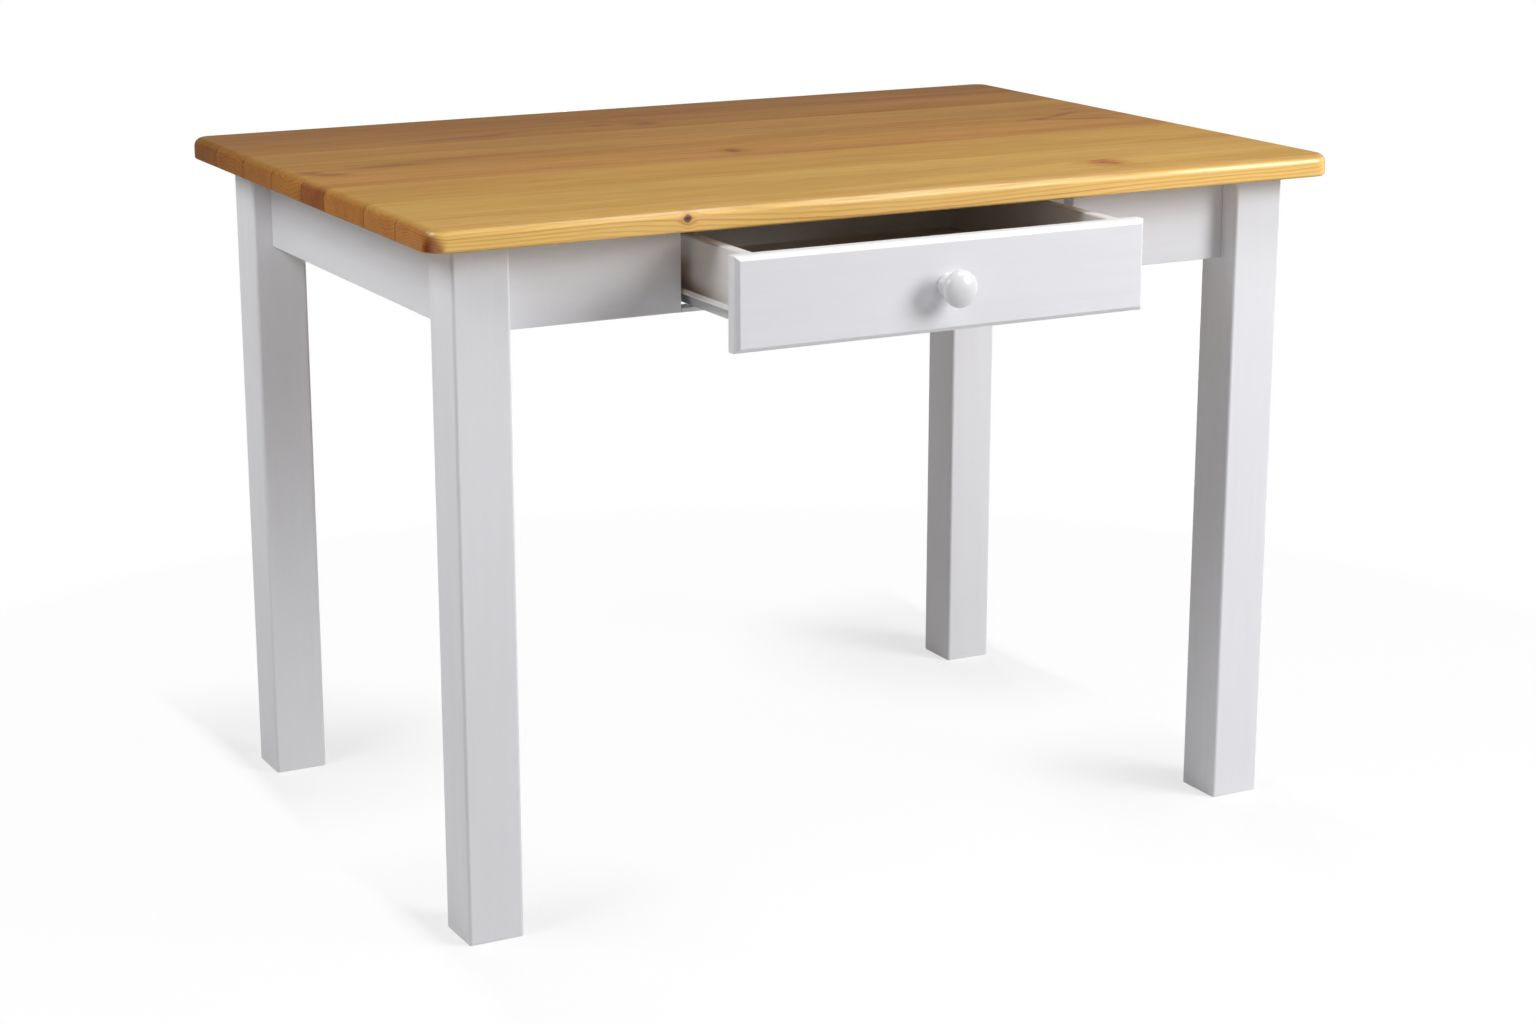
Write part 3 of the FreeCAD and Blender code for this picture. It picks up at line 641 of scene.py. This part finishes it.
def makeDrawerBox():
    box = {"round": 2, "roundSteps": 4, "groove": 5, "bottomEdge": 0.4}

    def upperEdges(level, axis):
        # true for edges at the upper level that keep their place on one axis
        return lambda a, b: near(a.z, level) and near(b.z, level) and near(a[axis], b[axis])

    bottomLow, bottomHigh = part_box("drawer_bottom")
    for side, sign in (("left", -1), ("right", 1)):
        node = "drawer_side_" + side
        wall = blockFrom(node)
        low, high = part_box(node)
        inner = high.x if sign < 0 else low.x
        easeEdges(wall, upperEdges(high.z, 0), box["round"], box["roundSteps"])
        # groove for the bottom: two saw lines, then the strip between them pushed in
        openPiece(wall, "FACE")
        for level in (bottomLow.z, bottomHigh.z):
            sawThrough((0, 0, level), (0, 0, 1))
        pickFaces(wall, lambda middle: near(middle.x, inner)
                  and bottomLow.z < middle.z < bottomHigh.z)
        push = (sign * box["groove"] * mm, 0, 0)
        bpy.ops.mesh.extrude_region_move(TRANSFORM_OT_translate={"value": push})
        bpy.ops.object.mode_set(mode="OBJECT")
        fitPiece(wall, "drawer", "drawer_box_paint", boxDeep, node)
    back = blockFrom("drawer_back")
    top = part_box("drawer_back")[1].z
    easeEdges(back, upperEdges(top, 1), box["round"], box["roundSteps"])
    fitPiece(back, "drawer", "drawer_box_paint", boxLong, "drawer_back")
    bottom = blockFrom("drawer_bottom")
    easeEdges(bottom, anyEdge, box["bottomEdge"], 1)
    fitPiece(bottom, "drawer", "drawer_box_paint", boxLong, "drawer_bottom")
    print("drawer: front, sides, back and bottom")


makeDrawerFront()
makeDrawerBox()


def arcThrough(start, middle, end, count):
    # points of the round stretch through three points, without its start
    (ax, ay), (bx, by), (cx, cy) = start, middle, end
    a, b, c = ax * ax + ay * ay, bx * bx + by * by, cx * cx + cy * cy
    d = 2 * (ax * (by - cy) + bx * (cy - ay) + cx * (ay - by))
    ux = (a * (by - cy) + b * (cy - ay) + c * (ay - by)) / d
    uy = (a * (cx - bx) + b * (ax - cx) + c * (bx - ax)) / d
    first, last = math.atan2(ay - uy, ax - ux), math.atan2(cy - uy, cx - ux)
    sweep = (last - first + math.pi) % (2 * math.pi) - math.pi
    size = math.hypot(ax - ux, ay - uy)
    turns = [first + sweep * n / count for n in range(1, count + 1)]
    return [(ux + size * math.cos(turn), uy + size * math.sin(turn)) for turn in turns]


def startLine(name, place):
    # leaves edit mode on, with one point to draw a line from
    clearBench()
    bpy.ops.mesh.primitive_plane_add(size=0.01, location=(0, 0, 0))
    piece = bpy.context.object
    piece.name = piece.data.name = name
    bpy.ops.object.mode_set(mode="EDIT")
    bpy.ops.mesh.select_mode(type="VERT")
    bpy.ops.mesh.select_all(action="SELECT")
    bpy.ops.mesh.merge(type="CENTER")
    bpy.ops.transform.translate(value=place)
    return piece


def drawOn(move):
    bpy.ops.mesh.extrude_vertices_move(TRANSFORM_OT_translate={"value": move})


def makeKnob():
    # turned on the lathe: foot, hollow neck and flattened ball
    knob = {"foot": 12.8, "footHeight": 3, "footRoll": (0.6, 0.4), "sanded": 0.5,
            "neck": 10.2, "neckHeight": 9.5, "neckSteps": 10, "root": 11,
            "head": 20, "headDepth": 11, "headSteps": 24, "reach": 36, "turnSteps": 72}
    low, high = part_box("drawer_knob")
    seat = Vector((0, high.y, (low.z + high.z) / 2))
    start = math.acos(knob["root"] / knob["head"])
    equator = knob["reach"] - knob["headDepth"]
    rootHeight = equator - knob["headDepth"] * math.sin(start)
    foot, rim, soft = knob["foot"], knob["footHeight"], knob["sanded"]
    rollIn, rollUp = knob["footRoll"]
    line = [(0, 0), (foot - soft, 0), (foot, soft), (foot, rim - soft),
            (foot - soft * rollIn, rim + soft * rollUp)]
    neck, root = (knob["neck"], knob["neckHeight"]), (knob["root"], rootHeight)
    line += arcThrough(line[-1], neck, root, knob["neckSteps"])
    for n in range(1, knob["headSteps"] + 1):
        turn = -start + (math.pi / 2 + start) * n / knob["headSteps"]
        line.append((knob["head"] * math.cos(turn), equator + knob["headDepth"] * math.sin(turn)))
    turned = startLine("drawerKnob", seat)
    for (r, d), (nextR, nextD) in zip(line, line[1:]):
        drawOn(((nextR - r) * mm, (d - nextD) * mm, 0))
    bpy.ops.mesh.select_all(action="SELECT")
    bpy.ops.mesh.spin(steps=knob["turnSteps"], angle=2 * math.pi, center=seat, axis=(0, 1, 0))
    bpy.ops.mesh.select_all(action="SELECT")
    bpy.ops.mesh.remove_doubles(threshold=0.02 * mm)
    bpy.ops.mesh.normals_make_consistent(inside=False)
    bpy.ops.object.mode_set(mode="OBJECT")
    fitPiece(turned, "drawer", "white_paint", whiteTurned, "drawer_knob")
    print("knob turned")


makeKnob()


# hardware and hidden wood: the drawer runners are bent anew, the rest keeps its CAD shape

def makeZinc():
    zinc = {"light": paintTone(196, 196, 192), "deep": paintTone(172, 176, 178),
            "bloom": paintTone(206, 200, 182), "bloomSize": 0.9, "bloomShare": 0.3,
            "cloud": (8, 8, 3.0), "seed": 21, "rough": (0.3, 0.46), "relief": 0.1, "depth": 0.05}
    material, tree, coords, coat = startFinish("zincPlate")
    place = alongGrain(tree, coords, "x")
    cells = put(tree, "TexVoronoi", {"Vector": place, "Scale": zinc["bloomSize"]}).outputs[0]
    cloud = streaks(tree, place, *zinc["cloud"], zinc["seed"])
    tone = blendTones(tree, cloud, zinc["light"], zinc["deep"])
    tone = blendTones(tree, times(tree, cells, zinc["bloomShare"]), tone, zinc["bloom"])
    spreadCoat(tree, coat, tone, cloud, zinc["rough"])
    raiseCoat(tree, coat, cloud, zinc["relief"], zinc["depth"])
    coat.inputs["Metallic"].default_value = 1.0
    return material


def makeEpoxy():
    epoxy = {"white": paintTone(244, 245, 246), "scuffed": paintTone(224, 224, 224),
             "scuffShare": 0.35, "ledgeShadeGrey": paintTone(182, 182, 184), "ledgeShadeShare": 0.8,
             "ledgeShadeBelow": (668.6, 667.4), "seed": 31, "rough": (0.28, 0.4),
             "streaks": {"peel": (2.4, 2.4, 2.0), "scuff": (250, 16, 3.0)},
             "relief": 0.15, "depth": 0.05}
    material, tree, coords, coat = startFinish("whiteEpoxySteel")
    place = alongGrain(tree, coords, "y")
    noise = streakSet(tree, place, epoxy["streaks"], epoxy["seed"])
    amount = times(tree, noise["scuff"], epoxy["scuffShare"])
    tone = blendTones(tree, amount, epoxy["white"], epoxy["scuffed"])
    # below the ledge the steel is greyed: painted shade under the ledge
    height = put(tree, "SeparateXYZ", {0: place}).outputs[2]
    amount = ease(tree, height, *epoxy["ledgeShadeBelow"], 0.0, epoxy["ledgeShadeShare"])
    tone = blendTones(tree, amount, tone, epoxy["ledgeShadeGrey"])
    spreadCoat(tree, coat, tone, noise["scuff"], epoxy["rough"])
    raiseCoat(tree, coat, noise["peel"], epoxy["relief"], epoxy["depth"])
    return material


def makeNylon():
    nylon = {"light": paintTone(224, 223, 216), "deep": paintTone(206, 205, 198),
             "flow": (3, 8, 2.0), "seed": 41, "rough": (0.42, 0.55),
             "milky": 0.1, "milkyReach": 2}
    material, tree, coords, coat = startFinish("whiteNylon")
    flow = streaks(tree, alongGrain(tree, coords, "x"), *nylon["flow"], nylon["seed"])
    tone = blendTones(tree, flow, nylon["light"], nylon["deep"])
    spreadCoat(tree, coat, tone, flow, nylon["rough"])
    coat.inputs["Subsurface Weight"].default_value = nylon["milky"]
    coat.inputs["Subsurface Radius"].default_value = [nylon["milkyReach"] * mm] * 3
    return material


def makeBeech():
    beech = {"light": paintTone(214, 178, 134), "deep": paintTone(186, 144, 102),
             "flecks": (6, 2, 2.0), "seed": 51, "rough": 0.6}
    material, tree, coords, coat = startFinish("beechDowel")
    flecks = streaks(tree, alongGrain(tree, coords, "z"), *beech["flecks"], beech["seed"])
    tone = blendTones(tree, flecks, beech["light"], beech["deep"])
    tree.links.new(tone, coat.inputs["Base Color"])
    coat.inputs["Roughness"].default_value = beech["rough"]
    return material


def makeDrawerRunners(finish):
    # bent from sheet: foot under the drawer side, web, ledge over the roller and a turned-up lip
    sheet = {"steel": 1.2, "lip": 3.8, "lipLean": 2.4, "bend": 1.3, "bendSteps": 3, "notch": 6}
    half = sheet["steel"] / 2 * mm
    for side, sign in (("left", -1), ("right", 1)):
        node = "drawer_runner_" + side
        low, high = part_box(node)
        wallLow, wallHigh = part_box("drawer_side_" + side)
        footX, webX, lipX = low.x, wallHigh.x + half, high.x - half
        if sign < 0:
            footX, webX, lipX = high.x, wallLow.x - half, low.x + half
        footZ, ledgeZ, lipZ = low.z + half, high.z - half, high.z + sheet["lip"] * mm
        tipX = lipX - sign * sheet["lipLean"] * mm
        notch = low.y + sheet["notch"] * mm
        line = [(footX, footZ), (webX, footZ), (webX, ledgeZ), (lipX, ledgeZ), (tipX, lipZ)]
        runner = startLine(pieceName(node), Vector((footX, low.y, footZ)))
        for (x, z), (nextX, nextZ) in zip(line, line[1:]):
            drawOn((nextX - x, 0, nextZ - z))
        bpy.ops.mesh.select_all(action="SELECT")
        stretch = (0, high.y - low.y, 0)
        bpy.ops.mesh.extrude_region_move(TRANSFORM_OT_translate={"value": stretch})
        sawThrough((0, notch, 0), (0, 1, 0))
        pickFaces(runner, lambda middle: middle.y < notch and middle.z > ledgeZ - half)
        bpy.ops.mesh.delete(type="FACE")
        easeEdges(runner, lambda a, b: along(1)(a, b) and near(a.z, ledgeZ), sheet["bend"],
                  sheet["bendSteps"])
        applyModifier(runner, "SOLIDIFY", thickness=sheet["steel"] * mm, offset=0)
        fitPiece(runner, "drawer", "white_epoxy_steel", finish, node)
    print("runners: 2 drawer members bent")


def dressHiddenPieces(whiteSteel):
    bare = {**lacquer, "light": paintTone(198, 162, 114), "deep": paintTone(180, 140, 94),
            "endTone": paintTone(236, 214, 190), "rings": 0.4, "sway": 8, "ring": 4.0,
            "lean": (0.0, 0.02), "rough": 0.62, "shine": 0.2, "polish": 0.0, "cornerStainShade": 0.0}
    blockPine = makePine("barePineBlock", {**bare, "seed": 61, "pith": (0, 600)})
    railPine = makePine("barePineRail", {**bare, "seed": 62, "pith": (200, 600), "grain": "y"})
    finishes = {"zinc_steel": makeZinc(), "white_epoxy_steel": whiteSteel,
                "white_nylon": makeNylon(), "beech_dowel": makeBeech(), "bare_pine": blockPine}
    slots = {part["node"]: part["material_slot"] for part in frame["record"]["subparts"]}
    dressed = 0
    for node, piece in frame["nodes"].items():
        if slots[node] not in finishes:
            continue
        finish = railPine if node.startswith("guide_rail") else finishes[slots[node]]
        for slot in piece.material_slots:
            slot.material = finish
            dressed += 1
    print("hardware and hidden wood:", dressed, "CAD pieces finished")


epoxySteel = makeEpoxy()
makeDrawerRunners(epoxySteel)
dressHiddenPieces(epoxySteel)


# studio: white floor, soft light and the camera at the photograph's angle

def seenRays(tree):
    # 1 for what the camera sees, also in a gloss, and 0 for the light that bounces
    path = put(tree, "LightPath", {}).outputs
    seen = calc(tree, "MAXIMUM", path["Is Camera Ray"], path["Is Glossy Ray"])
    return calc(tree, "MAXIMUM", seen, path["Is Transmission Ray"])


def grey(level):
    return (level, level, level, 1)


def makeFloor():
    floor = {"size": 60, "nearFoot": 0.64, "openFloor": 0.95, "footReach": (0.05, 0.36),
             "whiteFrom": (0.6, 1.4), "outside": (-0.04, 0.05), "matte": 0.95, "bounce": 0.66}
    clearBench()
    bpy.ops.mesh.primitive_plane_add(size=floor["size"], location=(0, 0, 0))
    sheet = bpy.context.object
    sheet.name = sheet.data.name = "studioFloor"
    material, tree = emptyFinish("studioWhite")
    # the shadow shows best beside the feet and fades out on the white sheet
    legLow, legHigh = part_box("leg_front_left")[0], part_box("leg_back_right")[1]
    middle = (legLow + legHigh) / 2
    foot = (legHigh - legLow) / 2
    place = put(tree, "TexCoord", {}).outputs["Object"]
    centred = put(tree, "VectorMath", {0: place, 1: (middle.x, middle.y, 0)}, operation="SUBTRACT")
    folded = put(tree, "VectorMath", {0: centred.outputs[0]}, operation="ABSOLUTE").outputs[0]
    toFoot = put(tree, "VectorMath", {0: folded, 1: (foot.x, foot.y, 0)}, operation="DISTANCE")
    away = put(tree, "VectorMath", {0: place}, operation="LENGTH")
    outside = minus(tree, put(tree, "SeparateXYZ", {0: folded}).outputs[0], foot.x)
    share = ease(tree, toFoot.outputs["Value"], *floor["footReach"], floor["nearFoot"],
                 floor["openFloor"])
    white = ease(tree, away.outputs["Value"], *floor["whiteFrom"])
    beside = ease(tree, outside, *floor["outside"], 0.0, floor["openFloor"])
    share = calc(tree, "MAXIMUM", calc(tree, "MAXIMUM", share, white), beside)
    glow = put(tree, "Emission", {"Color": grey(1), "Strength": 1.0})
    matte = put(tree, "BsdfDiffuse", {"Color": grey(floor["matte"])})
    plain = put(tree, "BsdfDiffuse", {"Color": grey(floor["bounce"])})
    shown = put(tree, "MixShader", {0: share, 1: matte.outputs[0], 2: glow.outputs[0]})
    both = put(tree, "MixShader", {0: seenRays(tree), 1: plain.outputs[0], 2: shown.outputs[0]})
    put(tree, "OutputMaterial", {0: both.outputs[0]})
    sheet.data.materials.append(material)


def makeWorld():
    room = {"ambient": 0.05, "shown": 1.0}
    world = bpy.data.worlds.new("studioRoom")
    bpy.context.scene.world = world
    world.use_nodes = True
    tree = world.node_tree
    tree.nodes.clear()
    light = {0: seenRays(tree), 3: room["ambient"], 4: room["shown"]}
    strength = put(tree, "MapRange", light).outputs[0]
    back = put(tree, "Background", {"Color": grey(1), "Strength": strength})
    put(tree, "OutputWorld", {0: back.outputs[0]})


lamps = {
    "keyLamp": {"place": (2.9, -3.2, 2.3), "aim": (0.0, -0.1, 0.5), "size": 2.2, "power": 149},
    "leftLamp": {"place": (-2.4, -0.6, 2.4), "aim": (-0.2, 0.0, 0.5), "size": 1.4, "power": 35},
    "leftBackLamp": {"place": (-2.4, 0.8, 2.2), "aim": (-0.2, 0.0, 0.5), "size": 1.4, "power": 13},
    "topLamp": {"place": (0.8, -0.9, 2.5), "aim": (0.2, -0.5, 0.75), "size": 1.2, "power": 22},
    # only for the sides the photograph doesn't show
    "backLamp": {"place": (1.2, 3.2, 0.45), "aim": (0.0, 0.2, 0.45), "size": 0.6, "power": 50},
}


def addLamp(name, place, aim, size, power):
    clearBench()
    bpy.ops.object.light_add(type="AREA", location=place)
    lamp = bpy.context.object
    lamp.name = lamp.data.name = name
    lamp.data.shape = "DISK"
    lamp.data.size = size
    lamp.data.energy = power
    lamp.rotation_euler = (Vector(aim) - Vector(place)).to_track_quat("-Z", "Y").to_euler()


def makeCamera():
    view = {"place": (-1.633, -3.0575, 1.268), "turn": -0.4896, "drop": 0.2609,
            "focal": 3046, "wide": 1536, "sensor": 36, "clip": (0.05, 200)}
    data = bpy.data.cameras.new("photoCamera")
    camera = bpy.data.objects.new("photoCamera", data)
    bpy.context.scene.collection.objects.link(camera)
    camera.location = view["place"]
    turn, drop = view["turn"], view["drop"]
    level = math.cos(drop)
    ahead = Vector((-math.sin(turn) * level, math.cos(turn) * level, -math.sin(drop)))
    camera.rotation_euler = ahead.to_track_quat("-Z", "Y").to_euler()
    data.sensor_width = view["sensor"]
    data.lens = view["focal"] / view["wide"] * view["sensor"]      # focal and wide in pixels
    data.clip_start, data.clip_end = view["clip"]
    bpy.context.scene.camera = camera


makeFloor()
makeWorld()
for name, lamp in lamps.items():
    addLamp(name, **lamp)
makeCamera()
bpy.context.scene.view_settings.view_transform = "Standard"
print("studio lit with", len(lamps), "lamps")
